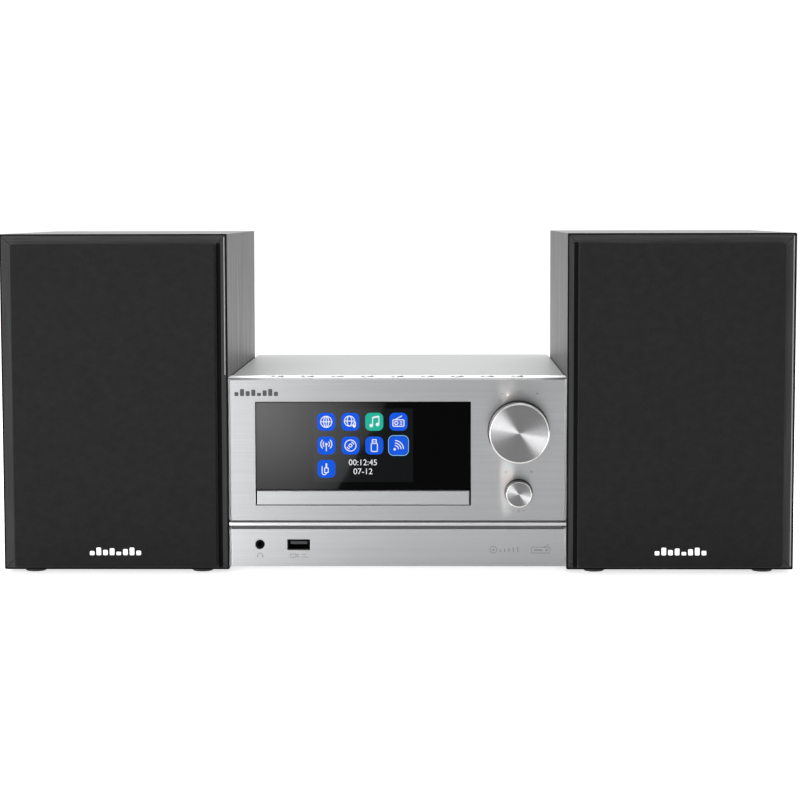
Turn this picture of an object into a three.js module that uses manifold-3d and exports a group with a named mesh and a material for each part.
// A mini hifi system: a main unit with display, disc tray and knobs, between two bookshelf speakers.
// Millimetres, +Z up, fronts facing -Y, +X to the right of someone facing it.
// The origin is on the surface the system stands on, at the centre of its outline.

import * as THREE from 'three';
import { mergeVertices } from 'three/addons/utils/BufferGeometryUtils.js';
import Module from 'manifold-3d';

const wasm = await Module();
wasm.setup();

// ---------------------------------------------------------------- driving dimensions

const GAP = 0.3; // between pieces that touch
const WELD = 1e-4; // vertices closer than this are one vertex

// the main unit's outside
const UNIT_WIDTH = 225;
const UNIT_DEPTH = 250;
const UNIT_BOTTOM = 5;
const UNIT_TOP = 131.5;
const KNOB_REACH = 14; // the large knob stands this far in front of the front panel
const SOCKET_REACH = 10; // the rear sockets stand this far behind the rear panel
const FRONT = (KNOB_REACH - SOCKET_REACH - UNIT_DEPTH) / 2; // y of the front panel's face
const BACK = FRONT + UNIT_DEPTH;
const HALF_WIDTH = UNIT_WIDTH / 2;

// front panels
const PANEL_WALL = 2;
const PANEL_DEPTH = 20; // the front panels wrap this far round the top and the sides
const PANEL_CHAMFER = 1.5;
const UPPER_PANEL_BOTTOM = 36;
const TRIM_HEIGHTS = [32.4, 34.6];
const LOWER_PANEL_TOP = 30.3;

// window and disc tray slot, one opening in the upper panel
const SLOT_X = [-94.7, 49];
const SLOT_Z = [46, 56.2];
const WINDOW_TOP = 115.6;
const GLASS_Y = [FRONT + 0.6, FRONT + 3];
const DISPLAY_X = [-60.7, 15.4];
const DISPLAY_Z = [58.9, 112.7];

// front moulding, behind the panels
const MOULDING_FRONT = FRONT + PANEL_WALL + GAP;
const MOULDING_WALL = 3;
const MOULDING_BACK = FRONT + 22;
const MOULDING_X = HALF_WIDTH - PANEL_WALL - GAP;
const MOULDING_Z = [UNIT_BOTTOM + PANEL_WALL + GAP, UNIT_TOP - PANEL_WALL - GAP];
const MOULDING_RIM = 2.5;

// knobs
const KNOB_X = 80.7;
const VOLUME_Z = 95.6;
const SELECT_Z = 54.5;
const VOLUME_RADIUS = 20;
const SELECT_RADIUS = 8.75;
const SELECT_REACH = 9;
const KNOB_CLEARANCE = 0.7;
const KNOB_BACK = 1.3; // how far the knobs' skirts go into the panel
const SHAFT_END = 10; // how far the shafts go behind the panel's face
const VOLUME_SHAFT_RADIUS = 3;
const SELECT_SHAFT_RADIUS = 2;

// round buttons along the top edge
const BUTTON_COUNT = 9;
const BUTTON_PITCH = 20;
const BUTTON_RADIUS = 4.5;
const BUTTON_FLANGE_RADIUS = 5.8;
const BUTTON_Y = FRONT + 9.5;
const BUTTON_REACH = 0.9;
const BUTTON_FLANGE_TOP = MOULDING_Z[1] - MOULDING_RIM - GAP;
const BUTTON_STEM_BOTTOM = 124.3;
const KEY_STRIP_Z = [118, 119.6];
const SWITCH_TOP = 123.4;
const SWITCH_SIDE = 6;

// circuit board behind the display
const CONTROL_BOARD_Y = [FRONT + 13, FRONT + 14.6];
const ENCODER_SIDE = 12;
const ENCODER_FRONT = FRONT + 6;

// sockets on the lower panel
const JACK = { x: -92, z: 19.8, hole: 3.25, nose: 2.9, bore: 1.75 };
const USB = { x: -66.1, z: 19.6, halfWidth: 7.6, halfHeight: 3.5, rim: 0.4, shell: 0.6 };
const JACK_BOARD_Z = [11, 12.6];

// disc drive
const TRAY_X = -22.95;
const TRAY_HALF_WIDTH = 65;
const TRAY_Y = [FRONT + 4.3, FRONT + 176];
const TRAY_Z = [47.6, 54.6];
const TRAY_FLOOR = 2;
const DISC_Y = FRONT + 74.3;
const DISC_RECESS_RADIUS = 60.5;
const DOOR_X = [-93.8, 47.9];
const DOOR_Z = [46.5, 55.9];
const DOOR_THICKNESS = 4;
const LOADER_X = [-92.5, 46.6];
const LOADER_Y = [FRONT + 26, FRONT + 186];
const LOADER_Z = [26, 62];
const LOADER_WALL = 3;
const LOADER_FLOOR = 2.5;
const RAIL_DROP = 2.3; // the tray rails' lower face is this far under the tray
const RAIL_REACH = 7;
const BRIDGE_Z = [58, 60.2];
const BRIDGE_HALF_DEPTH = 20;
const CLAMP_NECK_RADIUS = 9;
const CLAMP_FLANGE_RADIUS = 14;
const PLATTER_RADIUS = 14;
const SPINDLE_RADIUS = 1.5;
const GEAR_X = -66;
const GEAR_Y = FRONT + 38;
const GEAR_TIP_RADIUS = 14;
const GEAR_ROOT_RADIUS = 12;
const GEAR_TEETH = 20;
const GEAR_Z = [42, 47.2];
const GEAR_PIN_RADIUS = 2.4;
const RACK_WIDTH = 3;
const RACK_BOTTOM = SLOT_Z[0] + GAP; // the rack leaves through the slot with the tray
const SLED_Y = [DISC_Y + 20, DISC_Y + 40];
const SLED_HALF_WIDTH = 22;
const SLED_Z = [32, 42.5];
const ROD_OFFSET = 18;
const ROD_Z = 36;
const ROD_RADIUS = 1.5;
const ROD_Y = [DISC_Y + 16, DISC_Y + 78];

// sheet metal of the main unit
const SHEET = 1.2;
const COVER_WALL = 1;
const COVER_TOP = UNIT_TOP - 0.5;
const COVER_FRONT = FRONT + PANEL_DEPTH + GAP;
const CHASSIS_X = HALF_WIDTH - COVER_WALL - GAP;
const CHASSIS_FRONT = MOULDING_BACK + 0.5;
const CHASSIS_FLANGE_TOP = 17;
const STANDOFF_BOTTOM = UNIT_BOTTOM + SHEET + GAP;
const REAR_PANEL_FRONT = BACK - COVER_WALL;
const UNIT_FOOT = { radius: 11, x: 88, front: FRONT + 45, back: FRONT + 225 };

// boards in the main unit's body
const BOARD_THICKNESS = 1.6;
const MAIN_BOARD_X = [-104, 54];
const MAIN_BOARD_Y = [FRONT + 100, BACK - 3];
const MAIN_BOARD_Z = 72;
const POWER_BOARD_X = [58, 106];
const POWER_BOARD_Y = [FRONT + 60, BACK - 3];
const POWER_BOARD_Z = 14;
const ANTENNA = { x: -92, z: 80, radius: 4.7 };
const OPTICAL = { x: -67, z: 79.5, halfWidth: 6.5, halfHeight: 6 };
const PHONO_COLUMNS = [-46, -26];
const PHONO_ROWS = [81, 95];
const PHONO_RADIUS = 4.2;
const CLIPS = { x: 18, z: 86.5, halfWidth: 26, halfHeight: 13.5, spacing: 12 };
const INLET = { x: 82, z: 23, halfWidth: 12, halfHeight: 7.5 };

// speakers
const SPEAKER_GAP = 0.5; // to the main unit
const SPEAKER_WIDTH = 151.1;
const SPEAKER_DEPTH = 223.5;
const SPEAKER_BOTTOM = 2.5;
const SPEAKER_TOP = 227;
const SPEAKER_X = HALF_WIDTH + SPEAKER_GAP + SPEAKER_WIDTH / 2;
const SPEAKER_FRONT = FRONT + 3;
const SPEAKER_BACK = SPEAKER_FRONT + SPEAKER_DEPTH;
const BOARD_WALL = 12;
const CABINET_CHAMFER = 1;
const BAFFLE_FRONT = SPEAKER_FRONT + 5;
const BAFFLE_THICKNESS = 15;
const WOOFER_Z = 82;
const WOOFER_HOLE = 50;
const WOOFER_FLANGE = 58;
const TWEETER_Z = 172;
const TWEETER_HOLE = 23;
const TWEETER_FLANGE = 29.5;
const GRILLE_SIDE_INSET = 7;
const GRILLE_Z = [3.8, 221];
const GRILLE_FRONT = SPEAKER_FRONT - 5.3;
const GRILLE_SKIN = 1;
const GRILLE_BORDER = 13;
const GRILLE_CORNER = 3;
const PEG_RADIUS = 2.5;
const PEG_X = 57.5;
const PEG_HEIGHTS = [21, 208];
const PEG_LENGTH = 14;
const PORT_Z = 158;
const PORT_RADIUS = 18;
const PORT_WALL = 2.5;
const PORT_LENGTH = 90;
const PORT_FLANGE = 26;
const PORT_FLARE = 22;
const PORT_FLARE_DEPTH = 7;
const PORT_SIDES = 12;
const CUP_Z = [34, 72];
const CUP_HALF_WIDTH = 25;
const CUP_DEPTH = 17;
const SPEAKER_FOOT = { radius: 7.25, inset: 19, front: SPEAKER_FRONT + 12, back: SPEAKER_BACK - 20 };

// how finely round shapes are divided
const FINE = 36;
const ROUND = 20;
const COARSE = 10;

// ---------------------------------------------------------------- solids

function fromGeometry(geometry) {
  geometry.deleteAttribute('normal');
  geometry.deleteAttribute('uv');
  const welded = mergeVertices(geometry, WELD);
  const vertProperties = new Float32Array(welded.attributes.position.array);
  const triVerts = new Uint32Array(welded.index.array);
  return new wasm.Manifold(new wasm.Mesh({ numProp: 3, vertProperties, triVerts }));
}

function toGeometry(solid) {
  const mesh = solid.getMesh();
  const geometry = new THREE.BufferGeometry();
  geometry.setAttribute('position', new THREE.BufferAttribute(mesh.vertProperties, 3));
  geometry.setIndex(new THREE.BufferAttribute(mesh.triVerts, 1));
  return geometry;
}

function cut(solid, ...tools) {
  return tools.reduce((rest, tool) => rest.subtract(tool), solid);
}

function join(...solids) {
  return solids.reduce((whole, solid) => whole.add(solid));
}

function around(middle, half) {
  return [middle - half, middle + half];
}

function box([x0, x1], [y0, y1], [z0, z1]) {
  const geometry = new THREE.BoxGeometry(x1 - x0, y1 - y0, z1 - z0);
  geometry.translate((x0 + x1) / 2, (y0 + y1) / 2, (z0 + z1) / 2);
  return fromGeometry(geometry);
}

// A cylinder that stands up.
function upright(radius, [x, y], [z0, z1], sides = ROUND) {
  const geometry = new THREE.CylinderGeometry(radius, radius, z1 - z0, sides);
  geometry.rotateX(Math.PI / 2);
  geometry.translate(x, y, (z0 + z1) / 2);
  return fromGeometry(geometry);
}

// A cylinder that runs from front to back.
function lengthwise(radius, [x, z], [y0, y1], sides = ROUND) {
  const geometry = new THREE.CylinderGeometry(radius, radius, y1 - y0, sides);
  geometry.translate(x, (y0 + y1) / 2, z);
  return fromGeometry(geometry);
}

// Outlines are lists of [a, b] points or shapes. Along 'x' they hold (y, z), along 'y' (x, z),
// and along 'z' (x, y).
const OUTLINE_AXES = {
  x: [new THREE.Vector3(0, 1, 0), new THREE.Vector3(0, 0, 1), new THREE.Vector3(1, 0, 0)],
  y: [new THREE.Vector3(1, 0, 0), new THREE.Vector3(0, 0, 1), new THREE.Vector3(0, -1, 0)],
  z: [new THREE.Vector3(1, 0, 0), new THREE.Vector3(0, 1, 0), new THREE.Vector3(0, 0, 1)],
};

function prism(outline, axis, [from, to], curveSegments = 6) {
  const shape = outline instanceof THREE.Shape ? outline
    : new THREE.Shape(outline.map(([a, b]) => new THREE.Vector2(a, b)));
  const settings = { depth: to - from, bevelEnabled: false, curveSegments };
  const geometry = new THREE.ExtrudeGeometry(shape, settings);
  const [across, upward, along] = OUTLINE_AXES[axis];
  geometry.applyMatrix4(new THREE.Matrix4().makeBasis(across, upward, along));
  const start = axis === 'y' ? to : from;
  geometry.translate(along.x * start, Math.abs(along.y) * start, along.z * start);
  return fromGeometry(geometry);
}

function roundedRectangle([a0, a1], [b0, b1], radius) {
  const shape = new THREE.Shape();
  shape.moveTo(a0 + radius, b0);
  shape.absarc(a1 - radius, b0 + radius, radius, -Math.PI / 2, 0);
  shape.absarc(a1 - radius, b1 - radius, radius, 0, Math.PI / 2);
  shape.absarc(a0 + radius, b1 - radius, radius, Math.PI / 2, Math.PI);
  shape.absarc(a0 + radius, b0 + radius, radius, Math.PI, Math.PI * 1.5);
  shape.closePath();
  return shape;
}

// A profile lists [radius, height] points from the bottom to the top. 'up' turns about Z, and
// 'front' and 'back' about Y with the profile's top towards that side. Heights count from zero.
const TURN = { up: Math.PI / 2, front: Math.PI, back: 0 };

function turned(profile, facing, position, sides = ROUND) {
  const points = profile.map(([radius, height]) => new THREE.Vector2(radius, height));
  const geometry = new THREE.LatheGeometry(points, sides);
  geometry.rotateX(TURN[facing]);
  geometry.translate(...position);
  return fromGeometry(geometry);
}

// A box whose front edges are chamfered at the top and at both sides.
function frontChamferedBox([x0, x1], [y0, y1], [z0, z1], chamfer, bottomChamfer = 0) {
  const plan = [[x0 + chamfer, y0], [x1 - chamfer, y0], [x1, y0 + chamfer], [x1, y1], [x0, y1],
    [x0, y0 + chamfer]];
  const side = [[y0 + bottomChamfer, z0], [y1, z0], [y1, z1], [y0 + chamfer, z1],
    [y0, z1 - chamfer], [y0, z0 + bottomChamfer]];
  const sideOutline = bottomChamfer > 0 ? side : side.slice(0, -1);
  return prism(plan, 'z', [z0, z1]).intersect(prism(sideOutline, 'x', [x0, x1]));
}

// ---------------------------------------------------------------- materials

function finish(color, roughness, metalness = 0) {
  return () => new THREE.MeshStandardMaterial({ color, roughness, metalness });
}

const brushedAluminium = finish(0xc4c6c8, 0.35, 0.9);
const brightAluminium = finish(0xe4e5e6, 0.2, 1);
const silverPaint = finish(0xcdcfd1, 0.5, 0.4);
const blackPlastic = finish(0x17181a, 0.5);
const greyPlastic = finish(0x55585c, 0.6);
const whitePlastic = finish(0xe6e6e2, 0.5);
const blackGlass = finish(0x050607, 0.05);
const displayFace = finish(0x14161c, 0.3);
const circuitBoard = finish(0x1f5a34, 0.6);
const zincSteel = finish(0x9ea2a5, 0.45, 0.8);
const blackVinyl = finish(0x2a2a2b, 0.55);
const blackBoard = finish(0x1c1c1d, 0.8);
const grilleCloth = finish(0x262627, 0.95);
const coneMaterial = finish(0x222324, 0.85);
const rubber = finish(0x101010, 0.9);

// ---------------------------------------------------------------- main unit: front

const buttonCentres = Array.from({ length: BUTTON_COUNT },
  (_, index) => (index - (BUTTON_COUNT - 1) / 2) * BUTTON_PITCH);

function buttonHoles(radius, zRange) {
  return buttonCentres.map((x) => upright(radius + GAP, [x, BUTTON_Y], zRange, ROUND));
}

// Upper panel: face, top ledge and side returns, folded from one sheet.
function makeFrontPanel() {
  const inside = HALF_WIDTH - PANEL_WALL;
  const through = [FRONT - 1, FRONT + PANEL_WALL + 1];
  const outer = frontChamferedBox([-HALF_WIDTH, HALF_WIDTH], [FRONT, FRONT + PANEL_DEPTH],
    [UPPER_PANEL_BOTTOM, UNIT_TOP], PANEL_CHAMFER);
  return cut(outer,
    box([-inside, inside], [FRONT + PANEL_WALL, FRONT + PANEL_DEPTH + 1],
      [UPPER_PANEL_BOTTOM - 1, UNIT_TOP - PANEL_WALL]),
    box(SLOT_X, through, [SLOT_Z[0], WINDOW_TOP]),
    lengthwise(VOLUME_RADIUS + KNOB_CLEARANCE, [KNOB_X, VOLUME_Z], through, FINE),
    lengthwise(SELECT_RADIUS + KNOB_CLEARANCE, [KNOB_X, SELECT_Z], through, ROUND),
    ...buttonHoles(BUTTON_RADIUS, [UNIT_TOP - PANEL_WALL - 1, UNIT_TOP + 1]));
}

function makeTrimBar() {
  const inside = HALF_WIDTH - PANEL_WALL;
  const outer = box([-HALF_WIDTH, HALF_WIDTH], [FRONT, FRONT + PANEL_DEPTH], TRIM_HEIGHTS);
  const hollow = box([-inside, inside], [FRONT + PANEL_WALL, FRONT + PANEL_DEPTH + 1], [0, UNIT_TOP]);
  return cut(outer, hollow);
}

// Lower panel: face, side returns and a bottom return, with the two socket openings.
function makeLowerPanel() {
  const inside = HALF_WIDTH - PANEL_WALL;
  const through = [FRONT - 1, FRONT + PANEL_WALL + 1];
  const plan = [[-HALF_WIDTH, FRONT + PANEL_CHAMFER], [-HALF_WIDTH + PANEL_CHAMFER, FRONT],
    [HALF_WIDTH - PANEL_CHAMFER, FRONT], [HALF_WIDTH, FRONT + PANEL_CHAMFER],
    [HALF_WIDTH, FRONT + PANEL_DEPTH], [-HALF_WIDTH, FRONT + PANEL_DEPTH]];
  return cut(prism(plan, 'z', [UNIT_BOTTOM, LOWER_PANEL_TOP]),
    box([-inside, inside], [FRONT + PANEL_WALL, FRONT + PANEL_DEPTH + 1],
      [UNIT_BOTTOM + PANEL_WALL, LOWER_PANEL_TOP + 1]),
    lengthwise(JACK.hole, [JACK.x, JACK.z], through, COARSE),
    box(around(USB.x, USB.halfWidth), through, around(USB.z, USB.halfHeight)));
}

// Moulding that carries the panels, the glass and the control board, open at the back.
function makeFrontMoulding() {
  const wallBack = MOULDING_FRONT + MOULDING_WALL;
  const through = [MOULDING_FRONT - 1, wallBack + 1];
  const shaftHole = 5;
  return cut(box([-MOULDING_X, MOULDING_X], [MOULDING_FRONT, MOULDING_BACK], MOULDING_Z),
    box([-MOULDING_X + MOULDING_RIM, MOULDING_X - MOULDING_RIM], [wallBack, MOULDING_BACK + 1],
      [MOULDING_Z[0] + MOULDING_RIM, MOULDING_Z[1] - MOULDING_RIM]),
    box(SLOT_X, [MOULDING_FRONT - 1, GLASS_Y[1] + GAP], [SLOT_Z[1], WINDOW_TOP]),
    box([DISPLAY_X[0] - GAP, DISPLAY_X[1] + GAP], through, [DISPLAY_Z[0] - GAP, DISPLAY_Z[1] + GAP]),
    box(SLOT_X, through, SLOT_Z),
    lengthwise(shaftHole, [KNOB_X, VOLUME_Z], through, COARSE),
    lengthwise(shaftHole, [KNOB_X, SELECT_Z], through, COARSE),
    lengthwise(JACK.hole, [JACK.x, JACK.z], through, COARSE),
    box(around(USB.x, USB.halfWidth), through, around(USB.z, USB.halfHeight)),
    ...buttonHoles(BUTTON_RADIUS, [MOULDING_Z[1] - MOULDING_RIM - 1, MOULDING_Z[1] + 1]),
    ...buttonHoles(BUTTON_FLANGE_RADIUS, [KEY_STRIP_Z[0], MOULDING_Z[1] - MOULDING_RIM]));
}

function makeDisplayWindow() {
  return box([SLOT_X[0] + GAP, SLOT_X[1] - GAP], GLASS_Y, [SLOT_Z[1] + GAP, WINDOW_TOP - GAP]);
}

function makeDisplayModule() {
  return box(DISPLAY_X, [GLASS_Y[1] + GAP, GLASS_Y[1] + 4], DISPLAY_Z);
}

// Board with the two rotary encoders, and the key strip with a switch under each top button.
function makeControlBoard() {
  const [boardFront, boardBack] = CONTROL_BOARD_Y;
  const outline = [[-62, DISPLAY_Z[0]], [60, DISPLAY_Z[0]], [60, 42], [105, 42],
    [105, KEY_STRIP_Z[1]], [-62, KEY_STRIP_Z[1]]];
  const encoder = (z) => box(around(KNOB_X, ENCODER_SIDE / 2), [ENCODER_FRONT, boardFront + 0.5],
    around(z, ENCODER_SIDE / 2));
  const switches = buttonCentres.map((x) => box(around(x, SWITCH_SIDE / 2),
    around(BUTTON_Y, SWITCH_SIDE / 2), [KEY_STRIP_Z[0] + 1, SWITCH_TOP]));
  const body = join(prism(outline, 'y', CONTROL_BOARD_Y),
    box([-86, 105], [ENCODER_FRONT, boardBack], KEY_STRIP_Z),
    encoder(VOLUME_Z), encoder(SELECT_Z), ...switches);
  const bore = [ENCODER_FRONT - 1, FRONT + SHAFT_END + 1];
  return cut(body,
    lengthwise(VOLUME_SHAFT_RADIUS + 0.4, [KNOB_X, VOLUME_Z], bore, COARSE),
    lengthwise(SELECT_SHAFT_RADIUS + 0.4, [KNOB_X, SELECT_Z], bore, COARSE));
}

// The large knob with the encoder shaft that is pressed into its hub.
function makeVolumeKnob() {
  const profile = [[0, -SHAFT_END], [VOLUME_SHAFT_RADIUS, -SHAFT_END],
    [VOLUME_SHAFT_RADIUS, -KNOB_BACK], [6, -KNOB_BACK], [6, 9.5], [17.5, 9.5], [17.5, -KNOB_BACK],
    [VOLUME_RADIUS, -KNOB_BACK], [VOLUME_RADIUS, KNOB_REACH - 1.5], [18.8, KNOB_REACH],
    [18.3, KNOB_REACH], [18, KNOB_REACH - 0.4], [0, KNOB_REACH - 0.4]];
  return turned(profile, 'front', [0, 0, 0], FINE);
}

function makeSelectShaft() {
  const profile = [[0, -SHAFT_END], [SELECT_SHAFT_RADIUS, -SHAFT_END], [SELECT_SHAFT_RADIUS, 5],
    [0, 5]];
  return turned(profile, 'front', [0, 0, 0], COARSE);
}

function makeSelectKnob() {
  const boreRadius = SELECT_SHAFT_RADIUS + GAP;
  const skirt = -0.8;
  const profile = [[0, 5 + GAP], [boreRadius, 5 + GAP], [boreRadius, skirt], [4.5, skirt], [4.5, 5],
    [7, 5], [7, skirt], [SELECT_RADIUS, skirt], [SELECT_RADIUS, SELECT_REACH - 1],
    [SELECT_RADIUS - 0.9, SELECT_REACH], [7.6, SELECT_REACH], [7.4, SELECT_REACH - 0.3],
    [0, SELECT_REACH - 0.3]];
  return turned(profile, 'front', [0, 0, 0], ROUND);
}

// A button's cap stands through the ledge, and its flange stops under the moulding.
function makeTopButton() {
  const top = UNIT_TOP + BUTTON_REACH;
  const flangeBottom = BUTTON_FLANGE_TOP - 1.2;
  const profile = [[0, BUTTON_STEM_BOTTOM], [1.8, BUTTON_STEM_BOTTOM], [1.8, flangeBottom],
    [BUTTON_FLANGE_RADIUS, flangeBottom], [BUTTON_FLANGE_RADIUS, BUTTON_FLANGE_TOP],
    [BUTTON_RADIUS, BUTTON_FLANGE_TOP],
    [BUTTON_RADIUS, top - 0.4], [BUTTON_RADIUS - 0.4, top], [0, top]];
  return turned(profile, 'up', [0, 0, 0], COARSE);
}

// Board with the headphone socket and the USB socket.
function makeJackBoard() {
  const socketFront = FRONT + 0.4;
  const boardTop = JACK_BOARD_Z[1];
  const usbOuterX = USB.halfWidth - USB.rim;
  const usbOuterZ = USB.halfHeight - USB.rim;
  const body = join(box([-103, -54], [FRONT + 7, MOULDING_BACK], JACK_BOARD_Z),
    box(around(JACK.x, 6.5), [FRONT + 8, FRONT + 21], [boardTop - 0.5, JACK.z + 6.2]),
    lengthwise(JACK.nose, [JACK.x, JACK.z], [socketFront, FRONT + 9], COARSE),
    box(around(USB.x, usbOuterX), [socketFront, FRONT + 18], around(USB.z, usbOuterZ)),
    box(around(USB.x, usbOuterX - 1), [FRONT + 9, FRONT + 17.5], [boardTop - 0.5, USB.z]));
  const usbSpace = box(around(USB.x, usbOuterX - USB.shell), [socketFront - 1, FRONT + 16],
    around(USB.z, usbOuterZ - USB.shell));
  const usbTongue = box(around(USB.x, 5.6), [FRONT + 2, FRONT + 16.5], [USB.z + 0.2, USB.z + 2]);
  const jackBore = lengthwise(JACK.bore, [JACK.x, JACK.z], [socketFront - 1, FRONT + 19], COARSE);
  return join(cut(body, usbSpace, jackBore), usbTongue);
}

// ---------------------------------------------------------------- main unit: disc drive

function makeTrayDoor() {
  return box(DOOR_X, [FRONT, FRONT + DOOR_THICKNESS], DOOR_Z);
}

// Tray with the disc recess, the slot for platter and laser, and the rack under its floor.
function makeDiscTray() {
  const rackX = GEAR_X + GEAR_TIP_RADIUS + 0.4;
  const body = join(box(around(TRAY_X, TRAY_HALF_WIDTH), TRAY_Y, TRAY_Z),
    box([rackX, rackX + RACK_WIDTH], [FRONT + 30, TRAY_Y[1]], [RACK_BOTTOM, TRAY_Z[0] + 1]));
  return cut(body,
    upright(DISC_RECESS_RADIUS, [TRAY_X, DISC_Y], [TRAY_Z[0] + TRAY_FLOOR, TRAY_Z[1] + 1], FINE),
    prism(roundedRectangle(around(TRAY_X, 17), [DISC_Y - 17, DISC_Y + 54], 16.9), 'z',
      [TRAY_Z[0] - 1, TRAY_Z[1] + 1], 8));
}

function makeLoaderFrame() {
  const [left, right] = LOADER_X;
  const [bottom, top] = LOADER_Z;
  const railZ = [TRAY_Z[0] - RAIL_DROP, TRAY_Z[0] - GAP];
  const legSide = 8;
  const floorTop = bottom + LOADER_FLOOR;
  const legs = [[left, LOADER_Y[0]], [right - legSide, LOADER_Y[0]],
    [left, LOADER_Y[1] - legSide], [right - legSide, LOADER_Y[1] - legSide]]
    .map(([x, y]) => box([x, x + legSide], [y, y + legSide], [STANDOFF_BOTTOM, bottom + 1]));
  const rods = [-ROD_OFFSET, ROD_OFFSET]
    .map((offset) => lengthwise(ROD_RADIUS, [TRAY_X + offset, ROD_Z], ROD_Y, COARSE));
  const rodPosts = [-ROD_OFFSET, ROD_OFFSET].flatMap((offset) => [
    box(around(TRAY_X + offset, 2.5), [ROD_Y[0], ROD_Y[0] + 2.5], [bottom + 1, ROD_Z + 3]),
    box(around(TRAY_X + offset, 2.5), [ROD_Y[1] - 2.5, ROD_Y[1]], [bottom + 1, ROD_Z + 3])]);
  const body = join(box(LOADER_X, LOADER_Y, [bottom, floorTop]),
    box([left, left + LOADER_WALL], LOADER_Y, LOADER_Z),
    box([right - LOADER_WALL, right], LOADER_Y, LOADER_Z),
    box([left, left + RAIL_REACH], LOADER_Y, railZ),
    box([right - RAIL_REACH, right], LOADER_Y, railZ),
    box(LOADER_X, around(DISC_Y, BRIDGE_HALF_DEPTH), BRIDGE_Z),
    upright(4.5, [GEAR_X, GEAR_Y], [bottom + 1, GEAR_Z[0] - GAP], COARSE),
    upright(GEAR_PIN_RADIUS, [GEAR_X, GEAR_Y], [bottom + 1, GEAR_Z[1]], COARSE),
    upright(12, [TRAY_X, DISC_Y], [18, floorTop + 1.5], COARSE),
    upright(10, [GEAR_X, GEAR_Y + 40], [12, bottom + 1], COARSE),
    ...legs, ...rods, ...rodPosts);
  return cut(body,
    box(around(TRAY_X, 14), [SLED_Y[0] + 2, ROD_Y[1] - 6], [bottom - 1, floorTop + 1]),
    upright(CLAMP_NECK_RADIUS + 0.6, [TRAY_X, DISC_Y], [BRIDGE_Z[0] - 1, BRIDGE_Z[1] + 1], COARSE),
    upright(SPINDLE_RADIUS + GAP, [TRAY_X, DISC_Y], [24, floorTop + 2], COARSE));
}

// Platter that spins the disc, with its spindle down in the motor and a centring cone on top.
function makeTurntable() {
  const platterTop = 44.6;
  const profile = [[0, 24.4], [SPINDLE_RADIUS, 24.4], [SPINDLE_RADIUS, 30.5], [5, 30.5], [5, 40.5],
    [PLATTER_RADIUS, 42], [PLATTER_RADIUS, platterTop], [7.2, platterTop], [6, platterTop + 1.8],
    [0, platterTop + 1.8]];
  return turned(profile, 'up', [0, 0, 0], ROUND);
}

function makeDiscClamp() {
  const profile = [[0, 55.2], [CLAMP_FLANGE_RADIUS, 55.2], [CLAMP_FLANGE_RADIUS, 57.5],
    [CLAMP_NECK_RADIUS, 57.5], [CLAMP_NECK_RADIUS, 60.6], [12, 60.6], [12, 61.8], [0, 61.8]];
  return turned(profile, 'up', [0, 0, 0], COARSE);
}

function makeLaserSled() {
  const bores = [-ROD_OFFSET, ROD_OFFSET].map((offset) => lengthwise(ROD_RADIUS + 0.35,
    [TRAY_X + offset, ROD_Z], [SLED_Y[0] - 1, SLED_Y[1] + 1], COARSE));
  const lens = upright(3.2, [TRAY_X, SLED_Y[0] + 8], [SLED_Z[1] - 1, SLED_Z[1] + 1.6], COARSE);
  return cut(join(box(around(TRAY_X, SLED_HALF_WIDTH), SLED_Y, SLED_Z), lens), ...bores);
}

// Spur gear that drives the tray's rack.
function makeLoadingGear() {
  const step = (2 * Math.PI) / GEAR_TEETH;
  const outline = Array.from({ length: GEAR_TEETH }, (_, tooth) => [
    [GEAR_ROOT_RADIUS, -0.34], [GEAR_TIP_RADIUS, -0.16], [GEAR_TIP_RADIUS, 0.16],
    [GEAR_ROOT_RADIUS, 0.34]].map(([radius, share]) => {
    const angle = (tooth + share) * step;
    return [radius * Math.cos(angle), radius * Math.sin(angle)];
  })).flat();
  return cut(prism(outline, 'z', GEAR_Z),
    upright(GEAR_PIN_RADIUS + 0.4, [0, 0], [GEAR_Z[0] - 1, GEAR_Z[1] + 1], COARSE));
}

// ---------------------------------------------------------------- main unit: body

// Floor of the unit with a flange along the front and both sides.
function makeChassisBase() {
  const yRange = [CHASSIS_FRONT, REAR_PANEL_FRONT - GAP];
  const body = box([-CHASSIS_X, CHASSIS_X], yRange, [UNIT_BOTTOM, CHASSIS_FLANGE_TOP]);
  const hollow = box([-CHASSIS_X + SHEET, CHASSIS_X - SHEET], [yRange[0] + SHEET, yRange[1] + 1],
    [UNIT_BOTTOM + SHEET, CHASSIS_FLANGE_TOP + 1]);
  const slots = [-40, -30, -20, -10, 0, 10, 20, 30, 40].map((offset) => box(around(offset, 2),
    [FRONT + 196, FRONT + 226], [UNIT_BOTTOM - 1, UNIT_BOTTOM + SHEET + 1]));
  return cut(body, hollow, ...slots);
}

function makeTopCover() {
  const inside = HALF_WIDTH - COVER_WALL;
  const outer = box([-HALF_WIDTH, HALF_WIDTH], [COVER_FRONT, BACK], [UNIT_BOTTOM, COVER_TOP]);
  return cut(outer, box([-inside, inside], [COVER_FRONT - 1, BACK + 1],
    [UNIT_BOTTOM - 1, COVER_TOP - COVER_WALL]));
}

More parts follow.
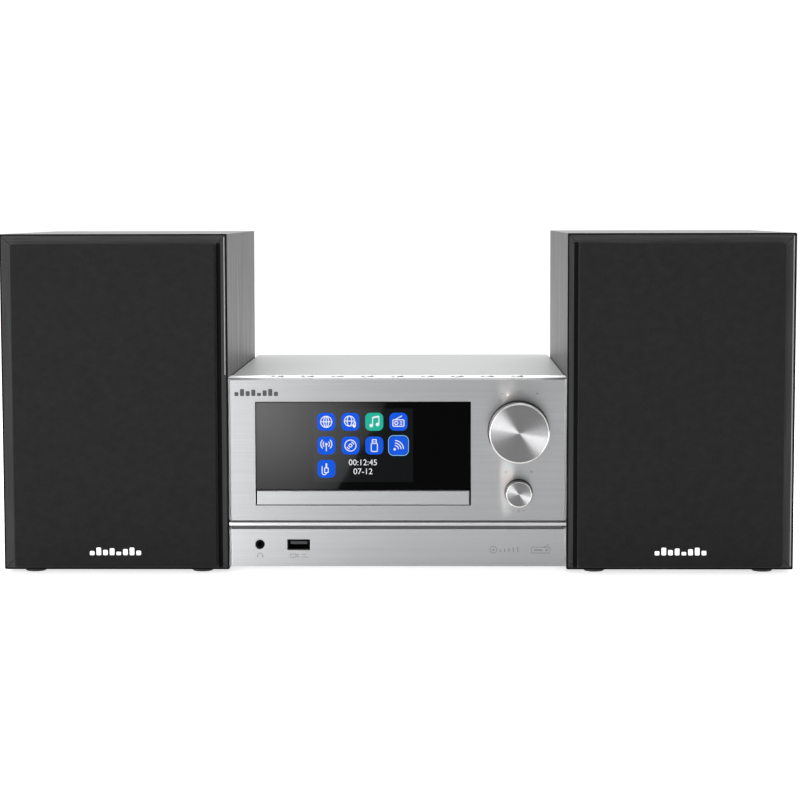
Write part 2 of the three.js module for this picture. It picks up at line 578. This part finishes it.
function makeRearPanel() {
  const through = [REAR_PANEL_FRONT - 1, BACK + 1];
  const play = 0.4;
  const window = ({ x, z, halfWidth, halfHeight }) => box(around(x, halfWidth + play), through,
    around(z, halfHeight + play));
  const phonoHoles = PHONO_COLUMNS.flatMap((x) => PHONO_ROWS.map((z) => lengthwise(
    PHONO_RADIUS + play, [x, z], through, COARSE)));
  const vents = [-30, -22, -14, -6, 2, 10, 18, 26].map((offset) => box(around(offset, 1.5), through,
    [28, 56]));
  const plate = box([-CHASSIS_X, CHASSIS_X], [REAR_PANEL_FRONT, BACK],
    [STANDOFF_BOTTOM, COVER_TOP - COVER_WALL - GAP]);
  return cut(plate, window(OPTICAL), window(CLIPS), window(INLET),
    lengthwise(ANTENNA.radius + play, [ANTENNA.x, ANTENNA.z], through, COARSE),
    ...phonoHoles, ...vents);
}

function standoffs([x0, x1], [y0, y1], boardZ) {
  const inset = 4;
  const legRadius = 2.4;
  return [x0 + inset, x1 - inset].flatMap((x) => [y0 + inset, y1 - inset].map((y) => upright(
    legRadius, [x, y], [STANDOFF_BOTTOM, boardZ + 1], COARSE)));
}

// Signal board with its rear sockets: antenna, optical, four phono sockets and speaker clips.
function makeMainBoard() {
  const boardTop = MAIN_BOARD_Z + BOARD_THICKNESS;
  const blockBottom = boardTop - 0.5;
  const blockBack = REAR_PANEL_FRONT - 0.4;
  const socketBack = BACK + SOCKET_REACH;
  const phonoBlocks = PHONO_COLUMNS.map((x) => box(around(x, 6.5), [BACK - 12, blockBack],
    [blockBottom, PHONO_ROWS[1] + 6]));
  const phonoTubes = PHONO_COLUMNS.flatMap((x) => PHONO_ROWS.map((z) => lengthwise(PHONO_RADIUS,
    [x, z], [BACK - 6, socketBack - 0.5], COARSE)));
  const phonoBores = PHONO_COLUMNS.flatMap((x) => PHONO_ROWS.map((z) => lengthwise(1.6,
    [x, z], [BACK - 2, socketBack + 1], COARSE)));
  const clipColumns = [-1.5, -0.5, 0.5, 1.5].map((place) => CLIPS.x + place * CLIPS.spacing);
  const clipLevers = clipColumns.map((x) => box(around(x, 4.2), [BACK - 4, BACK + 7],
    [CLIPS.z + 2, CLIPS.z + 9]));
  const wireHoles = clipColumns.map((x) => lengthwise(2, [x, CLIPS.z - 5], [BACK - 8, BACK + 3],
    COARSE));
  const body = join(
    box(MAIN_BOARD_X, MAIN_BOARD_Y, [MAIN_BOARD_Z, boardTop]),
    ...standoffs(MAIN_BOARD_X, MAIN_BOARD_Y, MAIN_BOARD_Z),
    box(around(ANTENNA.x, 7), [BACK - 16, blockBack], [blockBottom, ANTENNA.z + 7]),
    lengthwise(ANTENNA.radius, [ANTENNA.x, ANTENNA.z], [BACK - 6, socketBack], COARSE),
    box(around(OPTICAL.x, OPTICAL.halfWidth), [BACK - 16, BACK + 1.5],
      around(OPTICAL.z, OPTICAL.halfHeight)),
    box(around(OPTICAL.x, OPTICAL.halfWidth), [BACK - 16, BACK - 4], [blockBottom, OPTICAL.z]),
    box(around(CLIPS.x, CLIPS.halfWidth), [BACK - 16, BACK + 1.5],
      around(CLIPS.z, CLIPS.halfHeight)),
    ...phonoBlocks, ...phonoTubes, ...clipLevers,
    box([-96, -62], [FRONT + 110, FRONT + 150], [blockBottom, boardTop + 8]),
    box([-20, 40], [FRONT + 150, FRONT + 162], [blockBottom, boardTop + 26]),
    box(around(-30, 9), [FRONT + 112, FRONT + 130], [blockBottom, boardTop + 1.6]));
  const antennaBore = lengthwise(1, [ANTENNA.x, ANTENNA.z], [BACK - 2, socketBack + 1], COARSE);
  return cut(body, antennaBore, ...phonoBores, ...wireHoles);
}

// Mains supply with its transformer, smoothing capacitors, heat sink and two-pin inlet.
function makePowerBoard() {
  const boardTop = POWER_BOARD_Z + BOARD_THICKNESS;
  const partBottom = boardTop - 0.5;
  const recess = [BACK - 11, BACK + 4];
  const inlet = box(around(INLET.x, INLET.halfWidth), [BACK - 22, BACK + 2],
    around(INLET.z, INLET.halfHeight));
  const inletFoot = box(around(INLET.x, INLET.halfWidth), [BACK - 22, BACK - 4],
    [partBottom, INLET.z]);
  const inletSpace = box(around(INLET.x, 9.2), recess, around(INLET.z, 4.4));
  const pins = [-4.3, 4.3].map((offset) => lengthwise(1.2, [INLET.x + offset, INLET.z],
    [BACK - 12, BACK - 2], COARSE));
  return join(cut(join(inlet, inletFoot), inletSpace), ...pins,
    box(POWER_BOARD_X, POWER_BOARD_Y, [POWER_BOARD_Z, boardTop]),
    ...standoffs(POWER_BOARD_X, POWER_BOARD_Y, POWER_BOARD_Z),
    box([64, 100], [FRONT + 80, FRONT + 120], [partBottom, boardTop + 32]),
    upright(9, [72, FRONT + 140], [partBottom, boardTop + 30], COARSE),
    upright(6.5, [72, FRONT + 162], [partBottom, boardTop + 25], COARSE),
    box([94, 98], [FRONT + 132, FRONT + 196], [partBottom, boardTop + 34]));
}

function makeUnitFoot() {
  const { radius } = UNIT_FOOT;
  const top = UNIT_BOTTOM - GAP;
  return turned([[0, 0], [radius - 1, 0], [radius, 1], [radius, top], [0, top]], 'up', [0, 0, 0],
    COARSE);
}

// ---------------------------------------------------------------- speakers

// Wrapped board box with a back wall, open at the front where the baffle sits.
function makeCabinet() {
  const half = SPEAKER_WIDTH / 2;
  const behind = [SPEAKER_BACK - BOARD_WALL - 1, SPEAKER_BACK + 1];
  const outer = frontChamferedBox([-half, half], [SPEAKER_FRONT, SPEAKER_BACK],
    [SPEAKER_BOTTOM, SPEAKER_TOP], CABINET_CHAMFER, CABINET_CHAMFER);
  const portHole = (PORT_RADIUS + PORT_WALL) / Math.cos(Math.PI / PORT_SIDES) + GAP;
  return cut(outer,
    box([BOARD_WALL - half, half - BOARD_WALL], [SPEAKER_FRONT - 1, SPEAKER_BACK - BOARD_WALL],
      [SPEAKER_BOTTOM + BOARD_WALL, SPEAKER_TOP - BOARD_WALL]),
    box(around(0, CUP_HALF_WIDTH + GAP), behind, [CUP_Z[0] - GAP, CUP_Z[1] + GAP]),
    lengthwise(portHole, [0, PORT_Z], behind, PORT_SIDES));
}

function pegPlaces() {
  return [-PEG_X, PEG_X].flatMap((x) => PEG_HEIGHTS.map((z) => [x, z]));
}

function makeBaffle() {
  const half = SPEAKER_WIDTH / 2 - BOARD_WALL - GAP;
  const yRange = [BAFFLE_FRONT, BAFFLE_FRONT + BAFFLE_THICKNESS];
  const through = [yRange[0] - 1, yRange[1] + 1];
  const board = box([-half, half], yRange,
    [SPEAKER_BOTTOM + BOARD_WALL + GAP, SPEAKER_TOP - BOARD_WALL - GAP]);
  return cut(board,
    lengthwise(WOOFER_HOLE, [0, WOOFER_Z], through, FINE),
    lengthwise(TWEETER_HOLE, [0, TWEETER_Z], through, ROUND),
    ...pegPlaces().map((place) => lengthwise(PEG_RADIUS + 0.4, place, through, COARSE)));
}

// Grille: a frame with four pegs, closed at the front by the stretched cloth.
function makeGrille() {
  const half = SPEAKER_WIDTH / 2 - GRILLE_SIDE_INSET;
  const frameBack = SPEAKER_FRONT - GAP;
  const [bottom, top] = GRILLE_Z;
  const panel = prism(roundedRectangle([-half, half], GRILLE_Z, GRILLE_CORNER), 'y',
    [GRILLE_FRONT, frameBack], 4);
  const pocket = box([GRILLE_BORDER + 4 - half, half - GRILLE_BORDER - 4],
    [GRILLE_FRONT + GRILLE_SKIN, frameBack + 1], [bottom + GRILLE_BORDER + 14, top - GRILLE_BORDER - 9]);
  const pegs = pegPlaces().map((place) => lengthwise(PEG_RADIUS, place,
    [frameBack - 1, frameBack + PEG_LENGTH], COARSE));
  return join(cut(panel, pocket), ...pegs);
}

// Steel basket with its magnet. Heights count from the baffle's face, towards the front.
function makeWooferFrame() {
  const profile = [[0, -52], [35, -52], [35, -34], [30, -34], [49, -6], [49, GAP],
    [WOOFER_FLANGE, GAP], [WOOFER_FLANGE, 3], [51, 3], [46.5, -3], [27, -31], [15, -31], [15, -42],
    [11.5, -42], [11.5, -31], [0, -31]];
  return turned(profile, 'front', [0, 0, 0], ROUND);
}

// Paper cone with its dust cap and voice coil former.
function makeWooferCone() {
  const profile = [[0, -15.5], [8, -17], [12.5, -21], [12.5, -36], [14, -36], [14, -22.5],
    [41.5, -1.2], [42.5, -1.2], [42.5, 0], [14.5, -20.5], [11, -15], [6, -12], [0, -11]];
  return turned(profile, 'front', [0, 0, 0], ROUND);
}

function makeTweeter() {
  const profile = [[0, -20], [22, -20], [22, GAP], [TWEETER_FLANGE, GAP], [TWEETER_FLANGE, 3],
    [18, 3], [13, 1.5], [11, 3.9], [7, 5.6], [0, 6.4]];
  return turned(profile, 'front', [0, 0, 0], ROUND);
}

// Recessed cup with its flange and two binding posts.
function makeTerminalCup() {
  const flangeY = [SPEAKER_BACK + GAP, SPEAKER_BACK + 2.8];
  const dishWall = 2.5;
  const dishFloor = SPEAKER_BACK - CUP_DEPTH;
  const middle = (CUP_Z[0] + CUP_Z[1]) / 2;
  const body = join(box(around(0, CUP_HALF_WIDTH + 5), flangeY, [CUP_Z[0] - 5, CUP_Z[1] + 5]),
    box(around(0, CUP_HALF_WIDTH), [dishFloor - dishWall, flangeY[0] + 1], CUP_Z));
  const dish = box(around(0, CUP_HALF_WIDTH - dishWall), [dishFloor, flangeY[1] + 1],
    [CUP_Z[0] + dishWall, CUP_Z[1] - dishWall]);
  const posts = [-10, 10].flatMap((x) => [
    lengthwise(2, [x, middle], [dishFloor - 1, dishFloor + 7], COARSE),
    lengthwise(5, [x, middle], [dishFloor + 5, dishFloor + CUP_DEPTH - 1], COARSE)]);
  return join(cut(body, dish), ...posts);
}

// Flared reflex port, open at both ends.
function makePortTube() {
  const outerRadius = PORT_RADIUS + PORT_WALL;
  const mouth = GAP + 2;
  const profile = [[PORT_RADIUS, -PORT_LENGTH], [outerRadius, -PORT_LENGTH], [outerRadius, GAP],
    [PORT_FLANGE, GAP], [PORT_FLANGE, mouth], [PORT_FLARE, mouth],
    [PORT_RADIUS, mouth - PORT_FLARE_DEPTH], [PORT_RADIUS, -PORT_LENGTH]];
  return turned(profile, 'back', [0, 0, 0], PORT_SIDES);
}

function makeSpeakerFoot() {
  const { radius } = SPEAKER_FOOT;
  const top = SPEAKER_BOTTOM - GAP;
  return turned([[0, 0], [radius - 1, 0], [radius, 0.7], [radius, top], [0, top]], 'up', [0, 0, 0],
    COARSE);
}

// ---------------------------------------------------------------- assembly

function place(parent, name, solid, material, position = [0, 0, 0]) {
  const mesh = new THREE.Mesh(toGeometry(solid), material());
  mesh.name = name;
  mesh.position.set(...position);
  parent.add(mesh);
}

function placeFour(parent, name, solid, xDistance, frontY, backY) {
  const corners = [['front_left', -xDistance, frontY], ['front_right', xDistance, frontY],
    ['rear_left', -xDistance, backY], ['rear_right', xDistance, backY]];
  for (const [corner, x, y] of corners) {
    place(parent, `${name}_${corner}`, solid, rubber, [x, y, 0]);
  }
}

function buildUnit() {
  const unit = new THREE.Group();
  place(unit, 'front_panel', makeFrontPanel(), brushedAluminium);
  place(unit, 'trim_bar', makeTrimBar(), brightAluminium);
  place(unit, 'lower_panel', makeLowerPanel(), brushedAluminium);
  place(unit, 'front_moulding', makeFrontMoulding(), blackPlastic);
  place(unit, 'display_window', makeDisplayWindow(), blackGlass);
  place(unit, 'display_module', makeDisplayModule(), displayFace);
  place(unit, 'control_board', makeControlBoard(), circuitBoard);
  place(unit, 'volume_knob', makeVolumeKnob(), brightAluminium, [KNOB_X, FRONT, VOLUME_Z]);
  place(unit, 'select_shaft', makeSelectShaft(), zincSteel, [KNOB_X, FRONT, SELECT_Z]);
  place(unit, 'select_knob', makeSelectKnob(), brightAluminium, [KNOB_X, FRONT, SELECT_Z]);
  const button = makeTopButton();
  buttonCentres.forEach((x, index) => {
    place(unit, `top_button_${index + 1}`, button, silverPaint, [x, BUTTON_Y, 0]);
  });
  place(unit, 'jack_board', makeJackBoard(), greyPlastic);
  place(unit, 'tray_door', makeTrayDoor(), brushedAluminium);
  place(unit, 'disc_tray', makeDiscTray(), blackPlastic);
  place(unit, 'loader_frame', makeLoaderFrame(), blackPlastic);
  place(unit, 'turntable', makeTurntable(), greyPlastic, [TRAY_X, DISC_Y, 0]);
  place(unit, 'disc_clamp', makeDiscClamp(), whitePlastic, [TRAY_X, DISC_Y, 0]);
  place(unit, 'laser_sled', makeLaserSled(), zincSteel);
  place(unit, 'loading_gear', makeLoadingGear(), whitePlastic, [GEAR_X, GEAR_Y, 0]);
  place(unit, 'chassis_base', makeChassisBase(), zincSteel);
  place(unit, 'top_cover', makeTopCover(), silverPaint);
  place(unit, 'rear_panel', makeRearPanel(), zincSteel);
  place(unit, 'main_board', makeMainBoard(), circuitBoard);
  place(unit, 'power_board', makePowerBoard(), circuitBoard);
  placeFour(unit, 'unit_foot', makeUnitFoot(), UNIT_FOOT.x, UNIT_FOOT.front, UNIT_FOOT.back);
  return unit;
}

function buildSpeaker(side, x) {
  const speaker = new THREE.Group();
  speaker.position.x = x;
  place(speaker, `${side}_cabinet`, makeCabinet(), blackVinyl);
  place(speaker, `${side}_baffle`, makeBaffle(), blackBoard);
  place(speaker, `${side}_grille`, makeGrille(), grilleCloth);
  place(speaker, `${side}_woofer_frame`, makeWooferFrame(), zincSteel, [0, BAFFLE_FRONT, WOOFER_Z]);
  place(speaker, `${side}_woofer_cone`, makeWooferCone(), coneMaterial, [0, BAFFLE_FRONT, WOOFER_Z]);
  place(speaker, `${side}_tweeter`, makeTweeter(), blackPlastic, [0, BAFFLE_FRONT, TWEETER_Z]);
  place(speaker, `${side}_terminal_cup`, makeTerminalCup(), blackPlastic);
  place(speaker, `${side}_port_tube`, makePortTube(), blackPlastic, [0, SPEAKER_BACK, PORT_Z]);
  placeFour(speaker, `${side}_speaker_foot`, makeSpeakerFoot(),
    SPEAKER_WIDTH / 2 - SPEAKER_FOOT.inset, SPEAKER_FOOT.front, SPEAKER_FOOT.back);
  return speaker;
}

const group = new THREE.Group();
group.add(buildUnit(), buildSpeaker('left', -SPEAKER_X), buildSpeaker('right', SPEAKER_X));

export default group;
